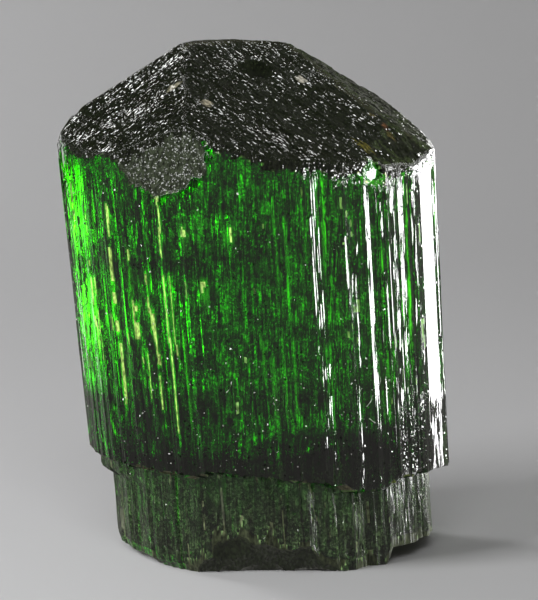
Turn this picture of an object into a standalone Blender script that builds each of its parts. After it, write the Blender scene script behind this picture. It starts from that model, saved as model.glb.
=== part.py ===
"""A single crystal of green elbaite tourmaline, standing on its broken base.

The crystal is one solid. A loft of striated sections makes the prism and the narrower stump
below its ledge, flat cuts make the faces of the termination, and spheres cut the shell-shaped
fractures out of the base.

Units are metres, +Z is up, and the front of the crystal faces -Y. An azimuth is counted in
degrees from +X towards +Y, so 270 is the front. The origin is on the surface that the crystal
stands on, under the middle of its bounding box.
"""

import math
import random

import bmesh
import bpy
from mathutils import Vector

MM = 0.001

# The axis of the crystal leans to the left as it rises
AXIS_FOOT_X = 1.1 * MM
AXIS_FOOT_Y = 0.3 * MM
LEAN = math.tan(math.radians(4.4))

# The prism is a rounded triangle in section, a little wider under the termination
PRISM_RADIUS_LOW = 10.55 * MM
PRISM_RADIUS_HIGH = 11.0 * MM
TAPER_FROM = 6.0 * MM
TAPER_TO = 24.0 * MM
TRIGONAL = 0.03
CORNER_AZIMUTH = 252.0
LOFT_TOP = 31.5 * MM

# Growth striations: long flat strips between corners that stand in or out by a little
COLUMNS = 144
STRIP_COLUMNS = (1, 1, 2, 2, 3, 4)
PRISM_RELIEF = (0.05 * MM, 0.20 * MM)
STUMP_RELIEF = (0.08 * MM, 0.26 * MM)
JOG = 0.11 * MM
JOG_HEIGHTS = (8.0 * MM, 23.0 * MM)
PRISM_SEED = 11
STUMP_SEED = 23

# The ledge where the outer growth ends: its height at each azimuth
LEDGE_HEIGHTS = (
    (0, 4.9 * MM),
    (50, 5.3 * MM),
    (115, 5.7 * MM),
    (180, 6.1 * MM),
    (226, 6.1 * MM),
    (243, 5.95 * MM),
    (255, 6.2 * MM),
    (272, 5.85 * MM),
    (290, 5.35 * MM),
    (299, 5.05 * MM),
    (305, 4.7 * MM),
    (311, 4.85 * MM),
    (318, 5.15 * MM),
    (340, 5.4 * MM),
)
LEDGE_RAGGED = 0.13 * MM
LEDGE_SEED = 5
LEDGE_UNDERCUT = 0.30 * MM

# The stump below the ledge, and the half step that its left side takes
STUMP_RECESS = 1.24 * MM
HALF_STEP_SHARE = 0.45
HALF_STEP_DROP = 1.45 * MM
HALF_STEP_SLOPE = 0.2 * MM
HALF_STEP_AZIMUTH = 183.0
HALF_STEP_WIDTH = 42.0
FOOT_ROUNDING = 0.9 * MM
FOOT_AZIMUTH = 190.0
FOOT_WIDTH = 75.0
FOOT_RINGS = (0.0, 0.18 * MM, 0.45 * MM, 0.9 * MM)

PRISM_RINGS = 22
STUMP_RINGS = 4

# Faces of the termination: name, azimuth and slope of the face in degrees, and the height at
# which its plane crosses the line over the origin
TERMINATION = (
    ("left", 217.0, 35.9, 32.32 * MM),
    ("front_right", 305.1, 26.9, 28.80 * MM),
    ("right", 353.5, 33.6, 30.85 * MM),
    ("back_right", 57.0, 33.0, 32.89 * MM),
    ("back", 105.0, 31.0, 31.83 * MM),
    ("back_left", 146.8, 39.4, 33.04 * MM),
    ("summit", 300.0, 1.2, 30.01 * MM),
    ("right_shoulder", 325.0, 45.0, 33.29 * MM),
    ("left_shoulder", 176.0, 60.0, 44.15 * MM),
)

# The steep etched patch at the foot of the front ridge
PATCH_AZIMUTH = 246.0
PATCH_TILT = 10.0
PATCH_FOOT = 22.1 * MM
PATCH_DISTANCE = 11.28 * MM

# Hollows: centre and the three half widths of the ball that takes each one out. The long
# hollow and the scallop leave the raised front lip of the base, and the pit is in the
# front right face of the termination
HOLLOWS = {
    "front_hollow": ((1.65 * MM, -12.18 * MM, -2.2 * MM), (12.0 * MM, 5.03 * MM, 4.93 * MM)),
    "front_scallop": ((-1.25 * MM, -10.38 * MM, 0.9 * MM), (1.9 * MM, 1.9 * MM, 1.9 * MM)),
    "back_hollow": ((-2.95 * MM, 15.32 * MM, -6.0 * MM), (9.6 * MM, 9.6 * MM, 9.6 * MM)),
    "summit_pit": ((0.56 * MM, -0.98 * MM, 29.11 * MM), (1.3 * MM, 1.3 * MM, 1.3 * MM)),
}

# The notch beside the nub, under the right side: a wide cone standing on its narrow end
NOTCH_CENTRE = (11.75 * MM, -2.38 * MM)
NOTCH_RADIUS = 5.3 * MM
NOTCH_FLARE = 0.5 * MM
NOTCH_HEIGHT = 0.9 * MM

GREEN = (0.012, 0.16, 0.02, 1.0)
ROUGHNESS = 0.16
TOURMALINE_IOR = 1.64
CLEARNESS = 0.7


def axis_at(height):
    """The point of the leaning axis at that height."""
    return Vector((AXIS_FOOT_X - LEAN * height, AXIS_FOOT_Y, height))


def angle_between(azimuth, other):
    """The angle in degrees between two azimuths, from 0 to 180."""
    return abs((azimuth - other + 180.0) % 360.0 - 180.0)


def bump(azimuth, middle, width):
    """1 at the middle azimuth, falling smoothly to 0 at width degrees to each side."""
    away = angle_between(azimuth, middle) / width
    return 0.0 if away >= 1.0 else 0.5 + 0.5 * math.cos(math.pi * away)


def smooth_share(value, low, high):
    """How far value is from low to high, from 0 to 1, with eased ends."""
    share = min(1.0, max(0.0, (value - low) / (high - low)))
    return share * share * (3.0 - 2.0 * share)


def plain_radius(azimuth, height):
    """The prism's radius with no striations."""
    share = min(1.0, max(0.0, (height - TAPER_FROM) / (TAPER_TO - TAPER_FROM)))
    mean = PRISM_RADIUS_LOW + (PRISM_RADIUS_HIGH - PRISM_RADIUS_LOW) * share
    corners = math.cos(math.radians(3.0 * (azimuth - CORNER_AZIMUTH)))
    return mean * (1.0 + TRIGONAL * corners)


class Striations:
    """Strips of random width, whose corners stand in and out by turns and jog at some height."""

    def __init__(self, seed, relief):
        draw = random.Random(seed)
        self.corners = []
        column = 0
        side = 1
        while column < COLUMNS:
            offset = side * draw.uniform(*relief)
            jog_height = draw.uniform(*JOG_HEIGHTS)
            jog = draw.uniform(-JOG, JOG)
            self.corners.append((column, offset, jog_height, jog))
            column += draw.choice(STRIP_COLUMNS)
            side = -side

    def corner_offset(self, corner, height):
        _, offset, jog_height, jog = corner
        return offset + (jog if height > jog_height else 0.0)

    def offset(self, column, height):
        """How far the surface stands out at that column, on the flat between two corners."""
        column %= COLUMNS
        before = max(c for c in self.corners if c[0] <= column)
        place = self.corners.index(before)
        after = self.corners[(place + 1) % len(self.corners)]
        end = after[0] if after[0] > before[0] else COLUMNS
        share = (column - before[0]) / (end - before[0])
        low = self.corner_offset(before, height)
        return low + (self.corner_offset(after, height) - low) * share


def ledge_heights():
    """The height of the ledge at each column: a smooth run through its table, then ragged by strips."""
    draw = random.Random(LEDGE_SEED)
    heights = []
    ragged = 0.0
    for column in range(COLUMNS):
        azimuth = 360.0 * column / COLUMNS
        if column % 3 == 0:
            ragged = draw.uniform(-LEDGE_RAGGED, LEDGE_RAGGED)
        table = LEDGE_HEIGHTS + ((360, LEDGE_HEIGHTS[0][1]),)
        for (low, first), (high, second) in zip(table, table[1:]):
            if low <= azimuth < high:
                share = smooth_share(azimuth, low, high)
                heights.append(first + (second - first) * share + ragged)
    return heights


def stump_radius(azimuth, height, ledge):
    """The stump's radius, with its half step on the left and its rounded left foot."""
    below = ledge - height
    full = smooth_share(below, HALF_STEP_DROP - HALF_STEP_SLOPE, HALF_STEP_DROP)
    half_step = bump(azimuth, HALF_STEP_AZIMUTH, HALF_STEP_WIDTH)
    share = 1.0 - half_step * HALF_STEP_SHARE * (1.0 - full)
    rounding = 0.0
    if height < FOOT_ROUNDING:
        depth = FOOT_ROUNDING - height
        rounding = FOOT_ROUNDING - math.sqrt(FOOT_ROUNDING**2 - depth**2)
    rounding *= bump(azimuth, FOOT_AZIMUTH, FOOT_WIDTH)
    return plain_radius(azimuth, height) - STUMP_RECESS * share - rounding


def column_points(column, ledge, prism_strips, stump_strips):
    """The points of one column of the loft, from the base to above the termination."""
    azimuth = 360.0 * column / COLUMNS
    outward = Vector((math.cos(math.radians(azimuth)), math.sin(math.radians(azimuth)), 0.0))
    stump_top = ledge - LEDGE_UNDERCUT
    step_low = ledge - HALF_STEP_DROP
    step_high = step_low + HALF_STEP_SLOPE
    foot_top = FOOT_RINGS[-1]
    heights = list(FOOT_RINGS)
    for ring in range(1, STUMP_RINGS + 1):
        heights.append(foot_top + (step_low - foot_top) * ring / STUMP_RINGS)
    heights += [step_high, stump_top]
    points = []
    for height in heights:
        radius = stump_radius(azimuth, height, ledge) + stump_strips.offset(column, height)
        points.append(axis_at(height) + outward * radius)
    for ring in range(PRISM_RINGS + 1):
        height = ledge + (LOFT_TOP - ledge) * ring / PRISM_RINGS
        radius = plain_radius(azimuth, height) + prism_strips.offset(column, height)
        points.append(axis_at(height) + outward * radius)
    return points


def lofted_body():
    """The striated column from its flat base to above the termination, closed by two caps."""
    body = bmesh.new()
    prism_strips = Striations(PRISM_SEED, PRISM_RELIEF)
    stump_strips = Striations(STUMP_SEED, STUMP_RELIEF)
    columns = []
    for column, ledge in enumerate(ledge_heights()):
        points = column_points(column, ledge, prism_strips, stump_strips)
        columns.append([body.verts.new(point) for point in points])
    for here, there in zip(columns, columns[1:] + columns[:1]):
        for ring in range(len(here) - 1):
            body.faces.new((here[ring], there[ring], there[ring + 1], here[ring + 1]))
    body.faces.new([column[0] for column in reversed(columns)])
    body.faces.new([column[-1] for column in columns])
    return body


def cut_flat(body, point, outward):
    """Takes away what lies outside the plane and closes the cut with one flat face."""
    parts = body.verts[:] + body.edges[:] + body.faces[:]
    cut = bmesh.ops.bisect_plane(
        body, geom=parts, plane_co=point, plane_no=outward, clear_outer=True, dist=1e-7
    )
    rim = [part for part in cut["geom_cut"] if isinstance(part, bmesh.types.BMEdge)]
    bmesh.ops.edgenet_fill(body, edges=rim)


def face_normal(azimuth, slope):
    """The outward normal of a face that faces that azimuth and slopes down that way."""
    across, up = math.sin(math.radians(slope)), math.cos(math.radians(slope))
    turn = math.radians(azimuth)
    return Vector((across * math.cos(turn), across * math.sin(turn), up))


def tourmaline():
    """Clear green glass with the gloss of the striated faces."""
    material = bpy.data.materials.new("green_tourmaline")
    material.use_nodes = True
    shader = material.node_tree.nodes["Principled BSDF"]
    shader.inputs["Base Color"].default_value = GREEN
    shader.inputs["Roughness"].default_value = ROUGHNESS
    shader.inputs["Metallic"].default_value = 0.0
    shader.inputs["IOR"].default_value = TOURMALINE_IOR
    shader.inputs["Transmission Weight"].default_value = CLEARNESS
    material.diffuse_color = GREEN
    return material


def add_cutter(name, shape, collection):
    """An object that a Boolean takes out of the crystal, not rendered itself."""
    mesh = bpy.data.meshes.new(name)
    shape.to_mesh(mesh)
    shape.free()
    cutter = bpy.data.objects.new(name, mesh)
    cutter.hide_render = True
    cutter.display_type = "WIRE"
    collection.objects.link(cutter)
    return cutter


def ball_cutter(name, centre, half_widths, collection):
    """A ball, drawn out along the axes where the half widths differ."""
    shape = bmesh.new()
    bmesh.ops.create_uvsphere(shape, u_segments=60, v_segments=40, radius=1.0)
    bmesh.ops.scale(shape, vec=half_widths, verts=shape.verts)
    cutter = add_cutter(name, shape, collection)
    cutter.location = centre
    return cutter


def notch_cutter(name, collection):
    """The cone of the notch, from under the base to the notch's roof."""
    shape = bmesh.new()
    bmesh.ops.create_cone(
        shape,
        cap_ends=True,
        segments=64,
        radius1=NOTCH_RADIUS + NOTCH_FLARE,
        radius2=NOTCH_RADIUS - NOTCH_FLARE,
        depth=2.0 * NOTCH_HEIGHT,
    )
    cutter = add_cutter(name, shape, collection)
    cutter.location = (*NOTCH_CENTRE, 0.0)
    return cutter


def new_collection(name):
    collection = bpy.data.collections.new(name)
    bpy.context.scene.collection.children.link(collection)
    return collection


def main():
    for old in list(bpy.data.objects):
        bpy.data.objects.remove(old)
    crystal_parts = new_collection("elbaite_tourmaline")
    cutters = new_collection("cutters")

    body = lofted_body()
    for _, azimuth, slope, height in TERMINATION:
        cut_flat(body, Vector((0.0, 0.0, height)), face_normal(azimuth, slope))
    patch_normal = face_normal(PATCH_AZIMUTH, 90.0 - PATCH_TILT)
    patch_turn = math.radians(PATCH_AZIMUTH)
    patch_out = Vector((math.cos(patch_turn), math.sin(patch_turn), 0.0))
    cut_flat(body, axis_at(PATCH_FOOT) + patch_out * PATCH_DISTANCE, patch_normal)
    bmesh.ops.recalc_face_normals(body, faces=body.faces)

    mesh = bpy.data.meshes.new("tourmaline_crystal")
    body.to_mesh(mesh)
    body.free()
    mesh.materials.append(tourmaline())
    crystal = bpy.data.objects.new("tourmaline_crystal", mesh)
    crystal_parts.objects.link(crystal)

    tools = [ball_cutter(name, *ball, cutters) for name, ball in HOLLOWS.items()]
    tools.append(notch_cutter("right_notch", cutters))
    for tool in tools:
        cut = crystal.modifiers.new(tool.name, "BOOLEAN")
        cut.operation = "DIFFERENCE"
        cut.solver = "EXACT"
        cut.object = tool


main()
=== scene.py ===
# %% [markdown]
# # A green elbaite tourmaline crystal
#
# This lesson builds one crystal: a short, heavily striated prism of green tourmaline with a
# dark faceted termination, standing on its broken base. The CAD solid in the frame gives the
# size and place. One fine mesh takes its place here, in three finishes of the same mineral, and
# a studio is set around it.

import math

import bpy
import numpy as np
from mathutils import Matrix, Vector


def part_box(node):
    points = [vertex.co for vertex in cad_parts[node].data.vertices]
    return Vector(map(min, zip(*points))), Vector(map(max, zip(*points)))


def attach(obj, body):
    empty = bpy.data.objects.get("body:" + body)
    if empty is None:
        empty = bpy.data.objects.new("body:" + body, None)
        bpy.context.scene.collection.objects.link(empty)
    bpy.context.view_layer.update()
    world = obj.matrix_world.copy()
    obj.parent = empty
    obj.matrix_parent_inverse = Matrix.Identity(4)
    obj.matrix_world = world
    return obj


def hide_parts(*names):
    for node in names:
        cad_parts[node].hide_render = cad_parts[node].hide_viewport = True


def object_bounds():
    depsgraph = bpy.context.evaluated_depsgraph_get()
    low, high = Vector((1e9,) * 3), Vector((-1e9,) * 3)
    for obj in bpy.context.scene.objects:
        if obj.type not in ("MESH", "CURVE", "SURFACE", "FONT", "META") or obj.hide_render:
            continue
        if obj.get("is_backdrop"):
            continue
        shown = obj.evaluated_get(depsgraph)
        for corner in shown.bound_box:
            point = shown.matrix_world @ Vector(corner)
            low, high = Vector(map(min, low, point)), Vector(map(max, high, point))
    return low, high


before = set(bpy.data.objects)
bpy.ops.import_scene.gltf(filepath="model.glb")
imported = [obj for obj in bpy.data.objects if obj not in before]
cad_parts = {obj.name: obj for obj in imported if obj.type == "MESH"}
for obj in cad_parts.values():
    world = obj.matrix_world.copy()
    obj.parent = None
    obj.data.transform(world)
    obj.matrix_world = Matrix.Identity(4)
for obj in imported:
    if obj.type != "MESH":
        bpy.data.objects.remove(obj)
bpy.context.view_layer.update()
low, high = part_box("tourmaline_crystal")
print("CAD box in mm:", [round(v * 1000, 2) for v in (*low, *high)])

# %% [markdown]
# ## The values that the crystal grew to
#
# All lengths are in millimetres, and azimuths are in degrees from +X towards +Y, so the front
# is at 270. These are the CAD's own values: the leaning axis, a section that is a rounded
# triangle, the ledge where the outer growth ends, and the planes of the termination.

# %% The shape's values
MM = 0.001
AXIS_X, AXIS_Y = 1.1, 0.3
LEAN = math.tan(math.radians(4.4))
RADIUS_LOW, RADIUS_HIGH = 10.55, 11.0
TAPER_FROM, TAPER_TO = 6.0, 24.0
TRIGONAL, CORNER = 0.03, 252.0

LEDGE = (
    (0, 4.9), (50, 5.3), (115, 5.7), (180, 6.1), (226, 6.1), (243, 5.95), (255, 6.2),
    (272, 5.85), (290, 5.35), (299, 5.05), (305, 4.7), (311, 4.85), (318, 5.15), (340, 5.4),
    (360, 4.9),
)
UNDERCUT = 0.3
STUMP_RECESS = 1.24

# Each face of the termination: the azimuth it faces, its slope, and its height over the origin.
FACES = {
    "left": (217.0, 35.9, 32.32),
    "front_right": (305.1, 26.9, 28.80),
    "right": (353.5, 33.6, 30.85),
    "back_right": (57.0, 33.0, 32.89),
    "back": (105.0, 31.0, 31.83),
    "back_left": (146.8, 39.4, 33.04),
    "summit": (300.0, 1.2, 30.01),
    "right_shoulder": (325.0, 45.0, 33.29),
    "left_shoulder": (176.0, 60.0, 44.15),
}
FACE_NUMBER = {name: number for number, name in enumerate(FACES)}
BACK_FACES = [FACE_NUMBER[name] for name in ("back_right", "back", "back_left", "left_shoulder")]
HACKLY_FACES = [FACE_NUMBER[name] for name in ("right", "right_shoulder")]
PATCH_AZIMUTH, PATCH_TILT, PATCH_FOOT, PATCH_DISTANCE = 246.0, 10.0, 22.1, 11.28
print("faces of the termination:", ", ".join(FACES))

# %% The mesh's own values
ROUND_RADIUS = 11.0  # turns lengths round the prism into degrees
ARC = 0.19  # millimetres round the prism for one degree
GLINT_AZIMUTH, GLINT_HEIGHT = 313.7, 23.0
COLUMNS = 640
STUMP_ROWS, LOW_ROWS, HIGH_ROWS = 14, 40, 34
HIGH_FROM = 19.0
DISC_RINGS = COLUMNS // 8
print("points on the sides:", COLUMNS * (STUMP_ROWS + LOW_ROWS + HIGH_ROWS + 2))


# %% [markdown]
# ## Noise to draw on
#
# A Displace modifier could bring in Blender's own noise, but here the points are worked out as
# numbers first, so the noise is a plain function too. Every random shape comes from it or from
# the draws of a seeded generator. So the crystal is the same on every run.

# %% Noise, ramps and humps
def hashed(ix, iy, seed):
    """A number from 0 to 1 for each pair of whole numbers."""
    n = (ix * 374761393 + iy * 668265263 + seed * 974634777) & 0xFFFFFFFF
    n = ((n ^ (n >> 13)) * 1274126177) & 0xFFFFFFFF
    n = ((n ^ (n >> 16)) * 2246822519) & 0xFFFFFFFF
    return (n ^ (n >> 15)) / 0xFFFFFFFF


def noise(x, y, seed):
    """Smooth noise from -1 to 1 with a grain of about one unit."""
    ix, iy = np.floor(x).astype(np.int64), np.floor(y).astype(np.int64)
    fx, fy = x - ix, y - iy
    fx, fy = fx * fx * (3 - 2 * fx), fy * fy * (3 - 2 * fy)
    a, b = hashed(ix, iy, seed), hashed(ix + 1, iy, seed)
    c, d = hashed(ix, iy + 1, seed), hashed(ix + 1, iy + 1, seed)
    return 2 * ((a + (b - a) * fx) * (1 - fy) + (c + (d - c) * fx) * fy) - 1


def layered(x, y, seed):
    """Noise with two layers of finer noise added on it."""
    total = 0.0
    for layer in range(3):
        total = total + noise(x * 2**layer, y * 2**layer, seed + 17 * layer) / 2**layer
    return total / 1.6


def ramp(value, start, end):
    """0 at start and 1 at end, with eased ends."""
    share = np.clip((value - start) / (end - start), 0.0, 1.0)
    return share * share * (3 - 2 * share)


def away(azimuth, other):
    """Degrees between two azimuths."""
    return np.abs((azimuth - other + 180.0) % 360.0 - 180.0)


def hump(azimuth, middle, width):
    """1 at the middle azimuth, falling to 0 at width degrees from it."""
    return 0.5 + 0.5 * np.cos(np.pi * np.clip(away(azimuth, middle) / width, 0.0, 1.0))


# %% [markdown]
# ## Striations
#
# Tourmaline grows with its side faces alternating in narrow strips, so its prism is never
# smooth: each strip lies in one of a few directions that the lattice allows, 30 degrees apart.
# That is why light flashes from many parallel lines at once. Noise in the radius would give
# round ribs. So the walk below goes round the crystal and lays one flat strip after another,
# each turned to an allowed direction, and steers back to the plain section whenever it has
# strayed.
#
# A flat strip shows a lamp like a mirror. In the bright groups every second strip faces the one
# azimuth that mirrors the lamp on the right. In the quiet range the directions are turned by 15
# degrees, which is a liberty: it keeps chance flashes away from between the groups.

# %% The plain section
def plain_radius(azimuth, height):
    share = np.clip((height - TAPER_FROM) / (TAPER_TO - TAPER_FROM), 0.0, 1.0)
    mean = RADIUS_LOW + (RADIUS_HIGH - RADIUS_LOW) * share
    return mean * (1 + TRIGONAL * np.cos(np.radians(3 * (azimuth - CORNER))))


def plain_normal(azimuth):
    """The azimuth that the plain section faces."""
    turn = np.radians(3 * (azimuth - CORNER))
    slope = np.arctan2(3 * TRIGONAL * np.sin(turn), 1 + TRIGONAL * np.cos(turn))
    return azimuth + np.degrees(slope)


print("plain radius in front at 15 mm:", round(float(plain_radius(270.0, 15.0)), 2))

# %% A walk that lays strips
ALLOWED_AT, ALLOWED_STEP, QUIET_SHIFT = 18.0, 30.0, 15.0
LAMP_NORMAL = 318.0
NEAR_SHARE = 0.66
SHORTEST, LONGEST = 0.07, 1.4
NO_RANGE = (400.0, 400.0)


def bright_strip(group, normal, above, below, mirror):
    """Turn and length of a strip in a bright group: every second one mirrors the lamp."""
    if not mirror:
        return (below if normal < 312 else above), 0.08
    start, end = group
    return LAMP_NORMAL - normal, 0.09 if end - start > 1.0 else 0.4 if start > 305 else 0.1


def lay_strips(seed, width, stray, spread, bright=(), quiet=NO_RANGE, broad=NO_RANGE):
    """Corner azimuths and how far each corner stands out of the plain section."""
    draw = np.random.default_rng(seed)
    azimuths, offsets = [], []
    azimuth, offset, mirror = 0.0, 0.0, False
    while azimuth < 359.5:
        azimuths.append(azimuth)
        offsets.append(offset)
        if broad[0] < azimuth < broad[1]:
            azimuth, offset = broad[1], 0.0
            continue
        normal = plain_normal(azimuth)
        lit = [group for group in bright if group[0] <= azimuth < group[1]]
        shift = QUIET_SHIFT if quiet[0] < azimuth < quiet[1] and not lit else 0.0
        turns = [ALLOWED_AT + shift + ALLOWED_STEP * step - normal for step in range(-2, 14)]
        above = min(turn for turn in turns if turn > 0)
        below = max(turn for turn in turns if turn <= 0)
        near, far = sorted((above, below), key=abs)
        turn = near if draw.random() < NEAR_SHARE else far
        if lit:
            mirror = not mirror
            turn, length = bright_strip(lit[0], normal, above, below, mirror)
            turn += draw.normal(0.0, 0.8)
        else:
            mirror = False
            if abs(offset) > stray * (0.6 + 0.6 * draw.random()):
                turn = above if offset > 0 else below
            if abs(turn) < 3.0 and abs(offset) < stray:
                length = width * math.exp(draw.normal(0.35, 0.6))
            else:
                length = width * math.exp(draw.normal(0.0, 0.6)) * min(1.0, 12.0 / abs(turn)) ** 0.8
            coming = min((start for start, _ in bright if start > azimuth), default=400.0)
            room = math.radians(coming - azimuth) * ROUND_RADIUS + 0.01
            length = min(max(length, SHORTEST), LONGEST, room)
            turn = turn + draw.normal(0.0, spread)
        azimuth += math.degrees(length / ROUND_RADIUS)
        offset -= math.tan(math.radians(turn)) * length
    azimuths, offsets = np.array(azimuths), np.array(offsets)
    offsets -= offset * azimuths / azimuth
    return azimuths, offsets


# %% Strips of the prism and of the stump
BRIGHT_GROUPS = (
    (289.5, 293.6), (303.2, 303.5), (309.4, 309.8),
    (320.4, 321.0), (324.4, 327.6), (331.0, 331.4),
)
QUIET, BROAD = (284.0, 359.5), (334.0, 347.5)
prism_at, prism_out = lay_strips(7, 0.17, 0.055, 2.4, BRIGHT_GROUPS, QUIET, BROAD)
stump_at, stump_out = lay_strips(31, 0.3, 0.10, 3.0)
prism_calm = np.zeros(len(prism_at))
for start, end in BRIGHT_GROUPS + (BROAD,):
    prism_calm[(prism_at > start - 0.6) & (prism_at < end + 0.6)] = 1.0
print("strips on the prism:", len(prism_at), "and on the stump:", len(stump_at))

# %% Columns of the mesh, one at every strip's corner
corner_at = np.unique(np.round(np.concatenate([prism_at, stump_at]), 3))
keep = np.concatenate([[True], np.diff(corner_at) > 0.2])
column_at = list(corner_at[keep])
while len(column_at) < COLUMNS:
    gaps = np.diff(column_at + [column_at[0] + 360.0])
    widest = int(np.argmax(gaps))
    column_at.insert(widest + 1, column_at[widest] + gaps[widest] / 2)
column_at = np.array(column_at[:COLUMNS])
print("columns:", len(column_at), "from", len(corner_at), "corners")


# %% [markdown]
# ## The sides
#
# A strip is flat between its corners, so its columns are placed on the straight line from one
# corner to the next. Where a strip ends part way up the crystal, its patch of face stands one
# or two hundredths of a millimetre above or below its neighbours. These broken steps catch the
# light as short bright dashes.

# %% Radius on the flats between corners
def on_strips(azimuth, at, radius_of, height):
    """The radius at an azimuth, on the flats between the corners."""
    index = np.searchsorted(at, azimuth, side="right") - 1
    a0 = at[index]
    a1 = np.append(at, 360.0)[index + 1]
    r0, r1 = radius_of(index, height), radius_of((index + 1) % len(at), height)
    t0, t1, t = np.radians(a0), np.radians(a1), np.radians(azimuth)
    x0, y0, x1, y1 = r0 * np.cos(t0), r0 * np.sin(t0), r1 * np.cos(t1), r1 * np.sin(t1)
    return (x0 * y1 - x1 * y0) / ((y1 - y0) * np.cos(t) - (x1 - x0) * np.sin(t))


def prism_corner(index, height):
    """A corner wanders a little with height, but not where a strip has to mirror a lamp."""
    calm = 1 - 0.95 * prism_calm[index] * ramp(height, 11.0, 14.5)
    wander = 0.022 * calm * noise(index * 1.37, height / 5.0, 3)
    return plain_radius(prism_at[index], height) + prism_out[index] + wander


def stump_corner(index, height):
    wander = 0.04 * noise(index * 1.91, height / 1.4, 4)
    return plain_radius(stump_at[index], height) + stump_out[index] + wander


front = np.array([270.0])
print("radius of the strips in front:", on_strips(front, prism_at, prism_corner, 15.0).round(3))

# %% Broken steps
step_draw = np.random.default_rng(19)
STEPS = []
for _ in range(330):
    middle = step_draw.uniform(0, 360)
    half = math.degrees(step_draw.uniform(0.06, 0.28) / ROUND_RADIUS)
    bottom = step_draw.uniform(2.0, 25.0)
    top = bottom + math.exp(step_draw.normal(0.7, 0.8))
    STEPS.append((middle, half, bottom, top, step_draw.normal(0.0, 0.018)))
print("broken steps:", len(STEPS))


def steps_out(azimuth, height):
    """How far the broken steps stand out."""
    out = np.zeros(np.broadcast(azimuth, height).shape)
    for middle, half, bottom, top, lift in STEPS:
        out += lift * ((away(azimuth, middle) < half) & (height > bottom) & (height < top))
    return out


# %% [markdown]
# ## Patch, chip, ledge and stump
#
# A steep etched face cuts the front ridge under the termination. Right of it a chip the size of
# a pinhead is tilted just so that it throws back a white glint. Below, the outer growth ends in
# a ragged ledge, and the narrower stump carries on under it. A boolean cut for each would spoil
# the rows of the mesh, so they are all written into the radius.

# %% Radius of the prism
def patch_reach(azimuth, height):
    """The radius at which the etched face cuts the prism."""
    tilt, turn = math.radians(PATCH_TILT), math.radians(PATCH_AZIMUTH)
    rise = height - PATCH_FOOT
    reach = PATCH_DISTANCE + rise * (LEAN * math.cos(turn) - math.tan(tilt))
    return reach / np.cos(np.radians(np.minimum(away(azimuth, PATCH_AZIMUTH), 60.0)))


def with_chip(azimuth, height, radius):
    """The radius with the tilted chip of the white glint in it."""
    arc, up = (azimuth - GLINT_AZIMUTH) * ARC, height - GLINT_HEIGHT
    chip = plain_radius(azimuth, height) - 0.01 - 0.118 * up - 0.075 * arc
    edge = 0.3 * noise(azimuth / 1.7, height / 0.25, 14)
    inside = (arc / 0.72) ** 2 + (up / 0.5) ** 2 + edge < 1
    return np.where(inside, np.minimum(chip, radius + 0.02), radius)


def prism_radius(azimuth, height):
    radius = on_strips(azimuth, prism_at, prism_corner, height) + steps_out(azimuth, height)
    radius = np.minimum(radius, patch_reach(azimuth, height))
    return with_chip(azimuth, height, radius)


print("prism radius in front:", prism_radius(front, 15.0).round(3))


# %% Ledge and stump
FOOT_ROUND = 0.9


def ledge_height(azimuth):
    table = np.array(LEDGE)
    height = np.interp(azimuth, table[:, 0], table[:, 1])
    strip = np.searchsorted(prism_at, azimuth, side="right")
    ragged = 0.17 * noise(strip * 0.83, strip * 0.0, 8)
    return height + (ragged + 0.05 * noise(azimuth / 0.9, azimuth * 0, 9))


def stump_radius(azimuth, height):
    """A half step under the ledge at the left, a rounded foot there, and chips all round."""
    below = ledge_height(azimuth) - height
    share = 1 - 0.55 * hump(azimuth, 183.0, 42.0) * (1 - ramp(below, 1.25, 1.45))
    depth = np.clip(FOOT_ROUND - height, 0.0, FOOT_ROUND)
    rounding = (FOOT_ROUND - np.sqrt(0.81 - depth**2)) * hump(azimuth, 190.0, 75.0)
    chips = 0.16 * np.clip(layered(azimuth / 4.0, height / 0.6, 12), 0, 1) * ramp(height, 2.2, 0.2)
    radius = on_strips(azimuth, stump_at, stump_corner, height)
    return radius - STUMP_RECESS * share - rounding - chips + 0.6 * steps_out(azimuth, height)


print("ledge in front:", ledge_height(front).round(2), "stump:", stump_radius(front, 3.0).round(2))


# %% [markdown]
# ## Termination
#
# The top is the lowest of nine planes. A plain minimum gives knife edges, which a worn crystal
# doesn't have, so a smooth minimum rounds the ridges by some hundredths of a millimetre. A rim
# point leans with its column, which changes where it meets each plane. Growth on the two large
# front faces left fine steps along one direction of each face, so their relief is noise drawn
# out in that direction. The faces on the right are rough all over.

# %% Height of the termination
RIDGE = 0.09


def plane_slopes(face):
    azimuth, slope, top = FACES[face]
    run = math.tan(math.radians(slope))
    return run * math.cos(math.radians(azimuth)), run * math.sin(math.radians(azimuth)), top


def crown(x, y):
    """Height of the top, which face is lowest there, and the gap to the next face."""
    heights = []
    for face in FACES:
        ax, ay, top = plane_slopes(face)
        heights.append(top - ax * x - ay * y)
    heights = np.array(heights)
    lowest = heights.min(axis=0)
    rounded = lowest - RIDGE * np.log(np.exp((lowest - heights) / RIDGE).sum(axis=0))
    two = np.sort(heights, axis=0)[:2]
    return rounded, heights.argmin(axis=0), two[1] - two[0]


def rim_top(azimuth):
    """Height at which each column reaches the termination."""
    height = np.full(azimuth.shape, 24.0)
    for _ in range(6):
        radius = prism_radius(azimuth, height)
        east = AXIS_X + radius * np.cos(np.radians(azimuth))
        north = AXIS_Y + radius * np.sin(np.radians(azimuth))
        meets = []
        for face in FACES:
            ax, ay, top = plane_slopes(face)
            meets.append((top - ax * east - ay * north) / (1 - ax * LEAN))
        height = np.min(meets, axis=0)
    return height - RIDGE * 0.7


print("top over the origin:", round(float(crown(0.0, 0.0)[0]), 2))

# %% Growth steps, grooves and the pit
# Each large face's growth direction in plan, and the length of one dash of its grain.
GRAIN = {"left": (0.86, 0.51, 0.17), "front_right": (0.69, -0.72, 0.52)}
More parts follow.
